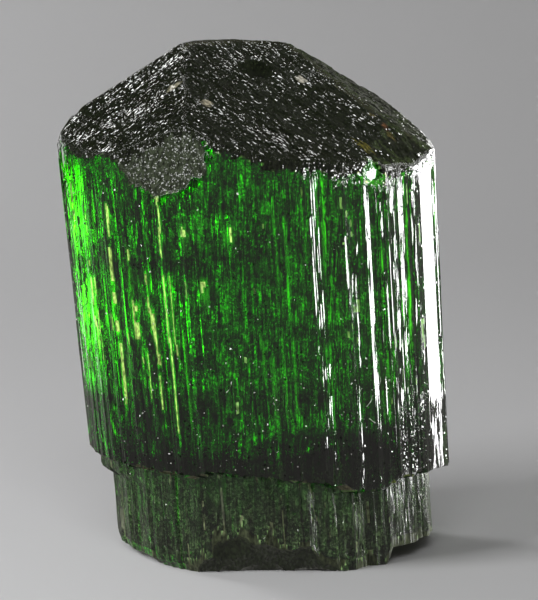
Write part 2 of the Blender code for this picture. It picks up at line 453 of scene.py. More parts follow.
# Each groove from one point in plan to another, and how deep it is.
GROOVES = (
    ((-10.9, 0.4), (-9.2, -2.9), 0.20),
    ((-7.2, -8.6), (-5.6, -7.6), 0.03),
    ((-5.6, -7.6), (-4.3, -8.6), 0.05),
    ((-4.6, -5.2), (-4.4, -7.0), 0.10),
    ((1.2, -2.4), (4.6, -5.4), 0.08),
    ((3.0, -1.4), (6.3, -4.4), 0.08),
    ((-1.5, -4.6), (2.0, -7.6), 0.08),
)
PIT_X, PIT_Y, PIT_Z, PIT_RADIUS = 0.56, -0.98, 29.11, 1.3


def crown_relief(x, y, face):
    """Growth steps and grooves on the termination, in mm."""
    relief = 0.035 * layered(x / 1.1, y / 1.1, 41) + 0.02 * layered(x / 0.35, y / 0.35, 42)
    for name, (along_x, along_y, _) in GRAIN.items():
        along, across = x * along_x + y * along_y, -x * along_y + y * along_x
        steps = layered(across / 0.42, along / 3.2, 43 + FACE_NUMBER[name])
        steps = steps + 0.7 * layered(across / 0.2, along / 1.1, 47)
        relief = np.where(face == FACE_NUMBER[name], relief + 0.05 * steps, relief)
    relief = relief * (1 - 0.8 * ramp(np.hypot(x + 5.7, y + 7.7), 2.3, 1.2))
    hackly = 0.10 * layered(x / 0.42, y / 0.42, 48)
    relief = np.where(np.isin(face, HACKLY_FACES), relief + hackly, relief)
    ragged = 0.1 * noise(x / 0.5, y / 0.5, 49)
    for (x0, y0), (x1, y1), deep in GROOVES:
        long_x, long_y = x1 - x0, y1 - y0
        along = ((x - x0) * long_x + (y - y0) * long_y) / (long_x**2 + long_y**2)
        along = np.clip(along, 0, 1)
        off = np.hypot(x - x0 - along * long_x, y - y0 - along * long_y)
        relief = relief - deep * ramp(off + ragged, 0.42, 0.05)
    return relief


def pit(x, y, height):
    inside = PIT_RADIUS**2 - (x - PIT_X) ** 2 - (y - PIT_Y) ** 2
    floor = PIT_Z - np.sqrt(np.clip(inside, 0.0, None))
    return np.where(inside > 0, np.minimum(height, floor), height)


print("bottom of the pit:", float(pit(PIT_X, PIT_Y, 30.0)))


# %% [markdown]
# ## The broken base
#
# Tourmaline breaks like glass, in shell-shaped hollows. Each hollow here is the upper side of a
# round or flattened ball, the notch at the right is a blunt cone, and the underside is the
# highest of them all. The plan is shaken with noise first, so that the hollows' borders are
# ragged.

# %% Height of the underside
# Each hollow's centre and its half sizes.
HOLLOWS = (
    ((1.65, -12.18, -2.2), (12.0, 5.03, 4.93)),
    ((-1.25, -10.38, 0.9), (1.9, 1.9, 1.9)),
    ((-2.95, 15.32, -6.0), (9.6, 9.6, 9.6)),
)
NOTCH_X, NOTCH_Y, NOTCH_RADIUS, NOTCH_SLOPE = 11.75, -2.38, 5.3, 1.8


def ball_roof(x, y, centre, half):
    inside = 1 - ((x - centre[0]) / half[0]) ** 2 - ((y - centre[1]) / half[1]) ** 2
    return np.where(inside > 0, centre[2] + half[2] * np.sqrt(np.clip(inside, 0, None)), 0.0)


def underside(x, y):
    x, y = x + 0.28 * layered(x, y, 62), y + 0.28 * layered(x, y, 63)
    notch = (NOTCH_RADIUS - np.hypot(x - NOTCH_X, y - NOTCH_Y)) * NOTCH_SLOPE
    roof = np.clip(notch, 0.0, 0.9)
    for centre, half in HOLLOWS:
        roof = np.maximum(roof, ball_roof(x, y, centre, half))
    return roof


def side_points(azimuth, height, radius):
    x = AXIS_X - LEAN * height + radius * np.cos(np.radians(azimuth))
    y = AXIS_Y + radius * np.sin(np.radians(azimuth))
    return np.stack([x, y, height], axis=-1)


def rim_bottom(azimuth):
    """Height at which each column of the stump meets the underside."""
    height = np.zeros(azimuth.shape)
    for _ in range(8):
        plan = side_points(azimuth, height, stump_radius(azimuth, height))
        height = 0.5 * height + 0.5 * underside(plan[..., 0], plan[..., 1])
    return height


print("highest point of the foot's edge:", round(float(rim_bottom(column_at).max()), 2))

# %% [markdown]
# ## Points and faces
#
# The sides are a grid: rows run round the crystal and columns run up it. The top is a grid of
# square rings, shrunk towards the middle of the rim, because square rings have no crowded point
# in the centre. The underside is thirteen rings round one last face. All share the points of
# their rims, so the mesh is closed.

# %% Rows of the sides
foot, ledge, top = rim_bottom(column_at), ledge_height(column_at), rim_top(column_at)
rows = []
for row in range(STUMP_ROWS + 1):
    height = foot + (ledge - UNDERCUT - foot) * row / STUMP_ROWS
    rows.append(side_points(column_at, height, stump_radius(column_at, height)))
for row in range(LOW_ROWS):
    height = ledge + (HIGH_FROM - ledge) * row / LOW_ROWS
    rows.append(side_points(column_at, height, prism_radius(column_at, height)))
for row in range(HIGH_ROWS + 1):
    height = HIGH_FROM + (top - HIGH_FROM) * row / HIGH_ROWS
    rows.append(side_points(column_at, height, prism_radius(column_at, height)))
sides = np.array(rows)
print("side rows:", sides.shape)


# %% Square rings inside the top's rim
def disc_points(rim):
    """Square rings inside a rim: ring and point numbers of a grid, and its plan positions."""
    size = DISC_RINGS
    a, b = np.meshgrid(np.arange(-size, size + 1), np.arange(-size, size + 1), indexing="ij")
    ring = np.maximum(np.abs(a), np.abs(b))
    place = np.where(
        (b == -ring) & (a < ring), a + ring,
        np.where((a == ring) & (b < ring), 2 * ring + b + ring,
                 np.where((b == ring) & (a > -ring), 4 * ring + ring - a, 6 * ring + ring - b)),
    )
    place = np.where(ring == 0, 0, place)
    share = place / np.maximum(8 * ring, 1) * COLUMNS
    left = np.floor(share).astype(int) % COLUMNS
    part = (share - np.floor(share))[..., None]
    edge = rim[left] * (1 - part) + rim[(left + 1) % COLUMNS] * part
    centre = rim.mean(axis=0)
    return ring, place, centre + (edge - centre) * (ring / size)[..., None]


ring, place, top_plan = disc_points(sides[-1][:, :2])
top_x, top_y = top_plan[..., 0], top_plan[..., 1]
top_height, top_face, _ = crown(top_x, top_y)
top_height = pit(top_x, top_y, top_height)
top_height += crown_relief(top_x, top_y, top_face) * ramp(DISC_RINGS - ring, 0, 4)
print("summit at", round(float(top_height.max()), 2), "mm")

# %% Rings of the underside
BASE_SHARES = (
    0.985, 0.965, 0.94, 0.91, 0.875, 0.83, 0.78, 0.72, 0.64, 0.54, 0.42, 0.28, 0.12,
)
rim_plan = sides[0][:, :2]
rim_centre = rim_plan.mean(axis=0)
base_plan = np.array([rim_centre + (rim_plan - rim_centre) * share for share in BASE_SHARES])
base_x, base_y = base_plan[..., 0], base_plan[..., 1]
chipped = np.clip(0.16 * layered(base_x / 1.3, base_y / 1.3, 61), 0, 1)
base_height = underside(base_x, base_y)
base_height += chipped * ramp(np.arange(len(BASE_SHARES)), 0, 3)[:, None]
print("deepest hollow:", round(float(base_height.max()), 2), "mm")


# %% Join them into one closed mesh
def quads_between(first, second, third, fourth):
    return np.stack([first, second, third, fourth], axis=-1).reshape(-1, 4)


side_index = np.arange(sides.shape[0] * COLUMNS).reshape(sides.shape[0], COLUMNS)
ahead = np.roll(side_index, -1, axis=1)
points = [sides.reshape(-1, 3)]
faces = [quads_between(side_index[:-1], ahead[:-1], ahead[1:], side_index[1:])]
side_count = side_index.size

inner = ring < DISC_RINGS
disc_count = int(inner.sum())
index = np.zeros(ring.shape, dtype=int)
index[inner] = side_count + np.arange(disc_count)
index[~inner] = side_index[-1][place[~inner]]
points.append(np.concatenate([top_plan[inner], top_height[inner][:, None]], axis=1))
faces.append(quads_between(index[:-1, :-1], index[1:, :-1], index[1:, 1:], index[:-1, 1:]))

base_rows = np.arange(base_height.size).reshape(base_height.shape) + side_count + disc_count
base_rows = np.concatenate([side_index[:1], base_rows])
ahead = np.roll(base_rows, -1, axis=1)
points.append(np.concatenate([base_plan, base_height[..., None]], axis=-1).reshape(-1, 3))
faces.append(quads_between(base_rows[:-1], base_rows[1:], ahead[1:], ahead[:-1]))
last_ring = base_rows[-1].tolist()
body_count = side_count + disc_count + base_height.size
vertex_count = body_count
print("points of the crystal itself:", body_count)

# %% [markdown]
# ## Lint and dust
#
# A crystal that was handled has lint and dust on it. A hair system isn't part of the mesh, so
# each fibre is a thin square tube along a few smoothed knots of azimuth and height, and each
# bit of dust is a box with shaken corners. They lie on the crystal or just over it. Half of the
# dust is spread all round, and half lies low on the front.

# %% Lint
FIBRE_RADIUS, FIBRE_LIFT = 0.02, 0.05
FIBRES = (
    ((309.4, 11.4), (311.4, 11.4), (312.4, 11.1), (311.8, 10.8), (310.4, 10.7)),
    ((305.9, 9.6), (307.9, 9.9), (308.4, 10.2), (310.6, 10.3)),
    ((306.7, 8.9), (309.0, 8.6), (311.5, 8.5)),
    ((315.5, 9.1), (317.3, 8.6), (317.8, 8.2), (320.3, 8.1), (323.6, 8.4)),
    ((260.7, 10.8), (261.8, 11.0), (262.4, 11.4)),
    ((128.0, 12.0), (131.0, 12.8), (134.6, 12.4), (136.0, 11.6)),
)
for fibre in FIBRES:
    knots = np.array(fibre)
    steps = np.linspace(0, len(knots) - 1, 5 * len(knots))
    bend = [np.interp(steps, np.arange(len(knots)), knots[:, k]) for k in (0, 1)]
    bend = np.stack(bend, axis=1)
    for _ in range(3):
        bend[1:-1] = (bend[:-2] + bend[1:-1] * 2 + bend[2:]) / 4
    radius = plain_radius(bend[:, 0], bend[:, 1]).max() + FIBRE_LIFT
    path = side_points(bend[:, 0], bend[:, 1], radius)
    for turn in (0, 90, 180, 270):
        out = np.array([math.cos(math.radians(turn)), 0.0, math.sin(math.radians(turn))])
        points.append(path + out * FIBRE_RADIUS)
    first = vertex_count + np.arange(4)[:, None] * len(path) + np.arange(len(path))[None, :]
    after = np.roll(first, -1, axis=0)
    faces.append(quads_between(first[:, :-1], first[:, 1:], after[:, 1:], after[:, :-1]))
    faces.append(np.array([first[::-1, 0], first[:, -1]]))
    vertex_count += 4 * len(path)
print("fibres:", len(FIBRES))

# %% Dust
HALF_OF_DUST = 150
BOX = [(3, 2, 1, 0), (4, 5, 6, 7), (0, 1, 5, 4), (1, 2, 6, 5), (2, 3, 7, 6), (3, 0, 4, 7)]
square = ((-1, -1), (1, -1), (1, 1), (-1, 1))
box_corners = np.array([(i, j, k) for k in (-1, 1) for i, j in square]) * 0.7
dust_draw = np.random.default_rng(23)
dust_at = [dust_draw.uniform(*span, HALF_OF_DUST) for span in ((0, 360), (230, 345))]
dust_up = [dust_draw.uniform(6, highest, HALF_OF_DUST) for highest in (23, 13)]
dust_at, dust_up = np.concatenate(dust_at), np.concatenate(dust_up)
dust_size = np.exp(dust_draw.normal(-3.65, 0.4, 2 * HALF_OF_DUST))
dust_centres = side_points(dust_at, dust_up, prism_radius(dust_at, dust_up) + 0.02)
for centre, size in zip(dust_centres, dust_size):
    shaken = 1 + 0.5 * dust_draw.normal(0, 0.5, (8, 3))
    points.append(centre + box_corners * size * shaken)
    faces.append(np.array(BOX) + vertex_count)
    vertex_count += 8
print("bits of dust:", len(dust_size), "half size in mm:", round(float(np.median(dust_size)), 3))

# %% Make the mesh
points, faces = np.concatenate(points), np.concatenate(faces)
points = np.clip(points, np.array(low) / MM + 0.005, np.array(high) / MM - 0.005)
points[:, 2] = np.where(points[:, 2] < 0.01, 0.0, points[:, 2])
crystal_mesh = bpy.data.meshes.new("green_tourmaline")
crystal_mesh.from_pydata((points * MM).tolist(), [], faces.tolist() + [last_ring[::-1]])
crystal_mesh.validate()
crystal = bpy.data.objects.new("green_tourmaline_crystal", crystal_mesh)
bpy.context.scene.collection.objects.link(crystal)
print("points:", len(points), "faces:", len(faces))

# %% [markdown]
# ## Where each finish lies
#
# The clear green body, the olive-black cap, the etched patch and the dull stump differ in how
# much light they let in and how smooth they are. Paint from one side would be wrong from the
# others. So each point gets its share of every finish from its own azimuth and height, with
# noise on the borders.

# %% Which part each point belongs to
x, y, z = points[:, 0], points[:, 1], points[:, 2]
number = np.arange(len(points))
on_side = number < side_count
on_top = ~on_side & (number < side_count + disc_count)
on_dirt = number >= body_count
on_base = ~(on_side | on_top | on_dirt)
stump = number < (STUMP_ROWS + 1) * COLUMNS
prism = on_side & ~stump
azimuth = np.degrees(np.arctan2(y - AXIS_Y, x - AXIS_X + LEAN * z)) % 360
crown_z, crown_face, ridge_gap = crown(x, y)
depth = crown_z - z
hackly_face = np.isin(crown_face, HACKLY_FACES)
print("points on prism, stump, top, base:", *(int(m.sum()) for m in (prism, stump, on_top, on_base)))


# %% Dark cap, glint and etched patch
def oval(at, height, half_arc, half_height):
    """True for the points in an oval on the sides, with its half sizes in mm."""
    arc, up = (azimuth - at) * ARC, z - height
    return on_side & ((arc / half_arc) ** 2 + (up / half_height) ** 2 < 1)


glint = oval(GLINT_AZIMUTH, GLINT_HEIGHT, 0.7, 0.5)
halo = oval(314.2, 23.1, 1.2, 0.95) & ~glint
border = 0.3 + 0.45 * layered(azimuth / 9.0, z / 2.0, 71)
border = border + 0.35 * layered(azimuth / 1.5, z / 0.3, 73) + 0.5 * hump(azimuth, 312.0, 24.0)
cap = np.where(on_top, 1.0, ramp(depth, border + 0.35, border - 0.05))
cap = np.where(on_base | on_dirt, 0.0, cap)
cap = np.where(glint | (halo & (cap < 0.9)), 0.0, cap)
patch_shape = ((azimuth - PATCH_AZIMUTH) / 13.5) ** 2 + ((z - 24.0) / 2.0) ** 2
patch_shape = patch_shape + 0.35 * layered(azimuth / 4.0, z / 0.8, 72)
patch = np.where(on_side & (z > 20), ramp(patch_shape, 1.15, 0.85), 0.0)
over_patch = ramp(np.abs(patch_shape - 1.35), 0.5, 0.2) * (z > 24.4)
print("share of dark cap:", round(float(cap.mean()), 3), "of patch:", round(float(patch.mean()), 4))

# %% [markdown]
# ## Inside the body
#
# Real crystals hold bands of dark inclusions, clear zones near their edges, and long hollow
# channels that glow where light from behind is caught. Modelled inside the clear material they
# would be slow to render. Here they are drawn on the faces: dark bands at three heights, clear
# slabs at the left and behind, and pale yellow-green lines. The lines are a stand-in for light,
# so they stay pale in any light.

# %% Dark bands, clear and veiled zones
# Each band's height, half width, seed and strength.
DARK_BANDS = ((17.4, 1.1, 81, 0.8), (8.0, 1.7, 82, 1.0), (12.0, 0.9, 83, 0.3))
dark = np.zeros(len(points))
for middle, half, seed, strength in DARK_BANDS:
    wave = middle + 0.7 * noise(azimuth / 21.0, azimuth * 0, seed)
    blot = 0.62 + 0.7 * layered(azimuth / 9.0, z / 1.4, seed + 5)
    band = ramp(np.abs(z - wave), half, half * 0.25)
    dark = np.maximum(dark, strength * np.clip(blot, 0, 1) * band)
streak = layered(azimuth / 1.6, z / 6.0, 91)
clear = np.clip(0.42 + 0.6 * streak + 0.4 * layered(azimuth / 5.0, z / 2.2, 92), 0.05, 1.0)
low_height = z + 1.5 * layered(azimuth / 3.0, z / 3.0, 96)
low_left = ramp(away(azimuth, 220.0), 42.0, 26.0) * ramp(low_height, 14.0, 9.0)
clear = clear * (1 - 0.85 * low_left)
print("share of dark bands:", round(float(dark[prism].mean()), 3))

# %% Long pale lines
# Each line's azimuth, top, foot, and half width in mm.
LINES = (
    (224.6, 21.2, 9.0, 0.17), (214.3, 17.2, 10.4, 0.09), (211.4, 20.5, 12.0, 0.07),
    (232.6, 18.8, 13.0, 0.09), (233.8, 15.6, 9.4, 0.11), (238.6, 17.5, 14.0, 0.08),
    (239.9, 15.4, 8.4, 0.14), (244.6, 22.6, 7.4, 0.10), (256.8, 17.2, 15.6, 0.20),
    (252.0, 20.2, 18.8, 0.13), (265.4, 20.2, 18.4, 0.16), (219.0, 16.5, 9.0, 0.05),
    (229.3, 19.0, 11.5, 0.05), (249.0, 14.0, 8.0, 0.05), (217.0, 21.5, 18.0, 0.04),
    (222.0, 14.6, 9.5, 0.05), (236.0, 13.0, 9.0, 0.05), (246.6, 17.6, 12.0, 0.04),
    (219.5, 17.6, 14.6, 0.05), (272.0, 14.0, 11.5, 0.04),
)
line = np.zeros(len(points))
bent = 0.5 * noise(z / 1.6, z * 0, 109)
for middle, line_top, line_foot, half in LINES:
    off = away(azimuth, middle + bent) * ARC
    run = ramp(z, line_top + 0.2, line_top - 0.3) * ramp(z, line_foot - 0.5, line_foot + 1.5)
    line = np.maximum(line, ramp(off, half * 0.75 + 0.06, half * 0.4) * run)
line *= ramp(layered(azimuth / 2.0, z / 0.35, 110), -0.45, -0.2)
print("points on long lines:", int((line > 0.3).sum()))

# %% Short pale dashes
# Painted glow: on the prism the dashes stand for light caught in short needles inside the crystal.
nowhere = np.zeros(len(points), dtype=np.int64)
column = number % COLUMNS
dash = np.zeros(len(points), dtype=bool)
for beside in (0, 1):
    chosen = hashed(column - beside, nowhere, 16) > 0.90
    dash |= chosen & (noise((column - beside) * 1.3, z / 0.45, 114) > 0.35)
open_side = (z > 9.0) & (dark < 0.3) & (layered(azimuth / 5.0, z / 2.0, 115) > 0.15)
dash = dash & on_side & (stump | open_side)
print("points on dashes:", int(dash.sum()))

# %% How clear each point is
# Each clear slab's azimuth, half width in degrees, and strength.
SLABS = ((202.0, 17.0, 1.3), (62.0, 9.0, 0.8), (128.0, 8.0, 0.8))
slab = np.max([share * hump(azimuth, middle, wide) for middle, wide, share in SLABS], axis=0)
slab = ramp(slab + 0.35 * layered(azimuth / 1.3, z / 4.0, 94), 0.25, 0.6)
slab = slab * ramp(z, 24.0, 22.0) * ramp(z, 8.5, 14.0)
strip = np.searchsorted(prism_at, azimuth, side="right").astype(np.int64)
clear_strip = (hashed(strip, nowhere, 6) > 0.93) & (noise(strip * 1.7, z / 3.0, 93) > -0.1)
clarity = np.maximum(np.where(clear_strip, 0.9, 0.0), slab) * (1 - dark) * ~stump
clarity = np.maximum(clarity, line)
clarity = np.where(glint | halo, 0.9, clarity)
veil_height = z + 1.2 * layered(azimuth / 6.0, z / 2.0, 95)
veil = ramp(away(azimuth, 222.0), 34.0, 20.0) * ramp(veil_height, 17.5, 20.0)
veil = np.maximum(veil, 0.85 * ramp(away(azimuth, 228.0), 24.0, 14.0)) * (1 - line)
print("clear share of the prism:", round(float((clarity[prism] > 0.5).mean()), 3))

# %% [markdown]
# ## The colours
#
# Most of the green comes later, from the volume. The tint of a clear point only says how much
# light its face lets in, and in what hue. On the cap, the patch, the ledge's lip and the foot
# the tint is the colour of an opaque skin.

# %% Tint of the body and of the stump
GREEN_DEEP, GREEN_CLEAR = np.array([0.10, 0.42, 0.04]), np.array([0.55, 1.0, 0.3])
LINE_GREEN, DASH_GLOW_GREEN, HALO_GREEN = np.array([0.52, 0.86, 0.18]), (0.16, 0.36, 0.07), (0.9, 1.0, 0.4)
STUMP_OLIVE, STUMP_DASH = np.array([0.21, 0.36, 0.13]), (0.15, 0.18, 0.09)
tint = GREEN_DEEP + (GREEN_CLEAR - GREEN_DEEP) * np.maximum(clear, clarity)[:, None]
tint[:, 0] = tint[:, 0] + 0.4 * line
tint = tint + (LINE_GREEN - tint) * ramp(line, 0.3, 0.7)[:, None]
# Painted glow: pale green marks on an opaque skin, standing for light in short needles.
tint[dash & (line < 0.3)] = DASH_GLOW_GREEN
tint[halo] = HALO_GREEN
let_in = (1 - 0.95 * dark * (1 - line)) ** 2 * (1 - 0.8 * veil * (1 - slab))
let_in = let_in * (1 - 0.6 * low_left * (1 - line))
tint *= let_in[:, None]
olive = STUMP_OLIVE * (1 + 0.6 * layered(azimuth / 7.0, z / 1.5, 101))[:, None]
olive *= (1 + 0.6 * hump(azimuth, 285.0, 40.0))[:, None]
tint = np.where(stump[:, None], olive, tint)
tint[dash & stump] = STUMP_DASH
print("mean tint of the prism:", tint[prism].mean(axis=0).round(3))

# %% Pale ribs, the ledge's lip and the foot's edge
stump_strip = np.searchsorted(stump_at, azimuth, side="right").astype(np.int64)
two_ribs = ((away(azimuth, 254.5) < 0.5) | (away(azimuth, 269.5) < 0.6)) & (z > 3.0)
pale = stump & ((hashed(stump_strip, nowhere, 5) > 0.93) | two_ribs)
pale = pale & (noise(azimuth / 6.0, z / 1.8, 104) > -0.1)
# Painted highlight: under the lit strips on the right the lip is painted bright yellow-green and runs
# unbroken.
lip_highlight = away(azimuth, 321.0) < 6.0
ledge_here = ledge_height(azimuth)
lip = prism & (z - ledge_here < 0.25)
lip = lip & (layered(azimuth / 1.5, z / 0.3, 106) + 0.8 * lip_highlight > 0.0)
under = stump & (z > ledge_here - UNDERCUT - 0.12)
under = under & (layered(azimuth / 1.5, z / 0.3, 111) > 0.0)
edge_width = 0.45 + 0.6 * noise(azimuth / 3.0, z / 0.8, 112)
foot_edge = stump & (z - rim_bottom(azimuth) < edge_width)
dull = np.where(on_base | pale | lip | under | foot_edge | on_dirt, 1.0, 0.0)
print("dull points:", int(dull.sum()))

# %% Tint of the dull ground
DULL, PALE_RIB, LIP = (0.042, 0.048, 0.024), (0.14, 0.16, 0.10), (0.15, 0.14, 0.09)
LIP_HIGHLIGHT, FOOT_EDGE, UNDERSIDE_PAINTED_SHADE = (0.34, 0.42, 0.10), (0.045, 0.056, 0.026), (0.42, 0.52, 0.45)
PATCH_OLIVE, CAP_BLACK = (0.036, 0.046, 0.026), (0.009, 0.012, 0.005)


def cover(under_it, mask, colour):
    """Lays a colour over the tint, and reaches full cover where the mask is still thin."""
    share = ramp(mask, 0.0, 0.3)[:, None]
    return under_it + (np.asarray(colour) - under_it) * share


dull_tone = np.where(dull > 0.3, 1 + 0.4 * layered(azimuth / 1.1, z / 2.0, 103), 1.0)
tint = cover(tint, dull, DULL) * dull_tone[:, None]
tint[pale] = PALE_RIB
tint[lip | under] = LIP
# Painted highlight on the lip under the lit strips.
tint[(lip | under) & lip_highlight] = LIP_HIGHLIGHT
tint[foot_edge] = FOOT_EDGE
# Painted shade: the underside's tint is darkened because it lies in shade over the floor.
tint[on_base] = tint[on_base] * UNDERSIDE_PAINTED_SHADE
tint = cover(tint, patch, PATCH_OLIVE)
tint = cover(tint, cap, CAP_BLACK)
print("mean tint of the stump:", tint[stump].mean(axis=0).round(3))

# %% Stains, rims and spots on the termination
GOLD_STAIN, EDGE_GLOW_OLIVE = np.array([0.10, 0.09, 0.015]), (0.026, 0.029, 0.013)
SHOULDER_OLIVE, DUST_WHITE = (0.030, 0.042, 0.016), (0.8, 0.8, 0.76)
# Each spot's place in plan, radius and colour: three pale chips, then brown stains.
SPOTS = (
    (-4.52, -4.63, 0.34, (0.30, 0.28, 0.2)),
    (-2.65, -6.59, 0.26, (0.34, 0.31, 0.22)),
    (2.76, -0.48, 0.32, (0.45, 0.43, 0.36)),
    (7.61, -3.01, 0.20, (0.09, 0.04, 0.015)),
    (6.9, -2.2, 0.2, (0.07, 0.06, 0.02)),
    (7.9, -3.6, 0.2, (0.07, 0.06, 0.02)),
)
gold = ((azimuth - 317.5) / 2.2) ** 2 + ((z - 24.3) / 0.45) ** 2
gold = gold + 1.3 * noise(azimuth / 0.6, z / 0.15, 105)
gold = np.where(on_side | on_top, ramp(gold, 1.1, 0.2), 0.0)[:, None]
tint = tint + (GOLD_STAIN - tint) * gold
# Painted light: a lighter olive band on the ridges at the outline and behind stands for light shining
# through their thin edges.
rim = on_top & (ridge_gap < 0.22 + 0.22 * layered(x / 0.8, y / 0.8, 107))
rim = rim & (np.isin(crown_face, BACK_FACES) | (azimuth < 200) | (azimuth > 345))
tint[rim] = EDGE_GLOW_OLIVE
tint[on_top & hackly_face & (layered(x / 0.5, y / 0.5, 116) > 0.0)] = SHOULDER_OLIVE
ragged = 1 + 0.7 * layered(x / 0.3, y / 0.3, 113)
for spot_x, spot_y, size, shade in SPOTS:
    tint[on_top & (np.hypot(x - spot_x, y - spot_y) < size * ragged)] = shade
tint[on_dirt] = DUST_WHITE
print("mean tint of the termination:", tint[on_top].mean(axis=0).round(4))

# %% Where the skin is opaque, and how rough each point is
skin = np.maximum(np.maximum(cap, patch), dull)
skin = np.maximum(skin, np.maximum(ramp(line, 0.3, 0.7), 1.0 * dash) * on_side)
rough = np.full(len(points), 0.03) + 0.02 * np.clip(streak, 0, 1)
rough = np.where(stump, 0.22, rough)
for mask, roughness in ((dull, 0.30), (patch, 0.16), (cap, 0.055), (np.maximum(line, dash), 0.25)):
    rough = rough + (roughness - rough) * mask
rough[rim] = 0.15
print("opaque share of the points:", round(float((skin > 0.5).mean()), 3))

# %% [markdown]
# ## Grain and sparkle
#
# The termination glitters because its growth steps end in hundreds of tiny facets. As mesh they
# would take millions of faces. The material gives each cell of a broken pattern a tilt of its
# own instead. The grain says how large the cells are and which way they run, and the relief
# says how strongly they tilt.

# %% Grain
grain = np.stack([x / 0.12, y / 0.12, z / 1.6], axis=1)
for name, (along_x, along_y, dash_length) in GRAIN.items():
    along, across = x * along_x + y * along_y, -x * along_y + y * along_x
    here = on_top & (crown_face == FACE_NUMBER[name])
    grain[here] = np.stack([across / 0.06, along / dash_length, z / 0.3], axis=1)[here]
fringe = np.where(on_side, ramp(depth, border + 0.9, border + 0.2), 0.0) * ~stump
crumbly_height = z + 1.8 * layered(azimuth / 2.0, z / 1.5, 97)
crumbly = ramp(away(azimuth, 326.0), 11.0, 4.0) * ramp(crumbly_height, 10.5, 8.0)
crumbly = np.where(prism, crumbly, 0.0)
lumpy = (on_top & (crown_face > FACE_NUMBER["front_right"])) | on_base
granular = on_side & (np.maximum(np.maximum(patch, cap), fringe) > 0.4)
for mask, cell in (
    (lumpy, (0.11, 0.16, 0.2)), (granular, (0.065, 0.065, 0.07)), (crumbly > 0.4, (0.07, 0.07, 0.09)),
):
    grain[mask] = points[mask] / cell
print("points with a fine grain:", int((granular | (crumbly > 0.4)).sum()))

# %% Relief
broad_face = ramp(away(azimuth, 340.75), 7.4, 6.2) * ramp(z, 6.5, 9.0)
sparkle = np.clip(0.70 + 0.9 * layered(x / 1.5, y / 1.5, 108), 0.12, 1.05)
sparkle = np.where(crown_face == FACE_NUMBER["front_right"], 0.75 * sparkle, sparkle)
sparkle = np.where(hackly_face, 0.75, sparkle)
sparkle = np.where(rim, 0.3, sparkle)
sparkle = sparkle + (1.9 - sparkle) * over_patch
relief = np.where(on_top, sparkle, 0.10 - 0.05 * broad_face)
etched = np.maximum(patch, 0.8 * np.maximum(cap, fringe))
relief = np.where(on_side, relief + (1.0 - relief) * etched, relief)
relief = np.where(stump | on_base, 0.5, relief)
relief[glint] = 0.02
relief = relief + (0.24 - relief) * crumbly * (relief < 0.24)
faint_height = z + 1.8 * layered(azimuth / 2.0, z / 1.5, 98)
faint = ramp(away(azimuth, 308.0), 25.0, 18.0) * ramp(faint_height, 14.0, 12.0)
relief = np.maximum(relief, np.where(prism, 0.16 * faint, 0.0))
print("mean relief of the termination:", round(float(relief[on_top].mean()), 3))

# %% Write them to the mesh
colour_layer = crystal_mesh.color_attributes.new("tint", "FLOAT_COLOR", "POINT")
colours = np.concatenate([tint, np.ones((len(tint), 1))], axis=1)
colour_layer.data.foreach_set("color", colours.astype(np.float32).ravel())
for name, values in (("rough", rough), ("relief", relief), ("clarity", clarity)):
    layer = crystal_mesh.attributes.new(name, "FLOAT", "POINT")
    layer.data.foreach_set("value", values.astype(np.float32))
grain_layer = crystal_mesh.attributes.new("grain", "FLOAT_VECTOR", "POINT")
grain_layer.data.foreach_set("vector", grain.astype(np.float32).ravel())
CLEAR, SKIN, FROSTED = 0, 1, 2
face_finish = np.where(stump[faces].all(axis=1), FROSTED, CLEAR)
face_finish = np.append(np.where(skin[faces].mean(axis=1) > 0.5, SKIN, face_finish), SKIN)
crystal_mesh.polygons.foreach_set("material_index", face_finish.astype(np.int32))
print("clear, skin and frosted faces:", np.bincount(face_finish).tolist())

# %% [markdown]
# ## Three finishes of one mineral
#
# Tourmaline bends light more than window glass (IOR 1.64). Its colour is deep because the light
# crosses 20 mm of it, so the green comes from absorption inside the volume, which eats red and
# blue light quickly. The surface colour only adds what lies on or just under the faces. The
# stump is the same material with less transmission, because its faces are frosted. The cap, the
# patch, the dull ground, the pale lines and dashes, and the dust are an opaque skin.
#
# A helper class keeps the node trees short: each method adds one kind of node.

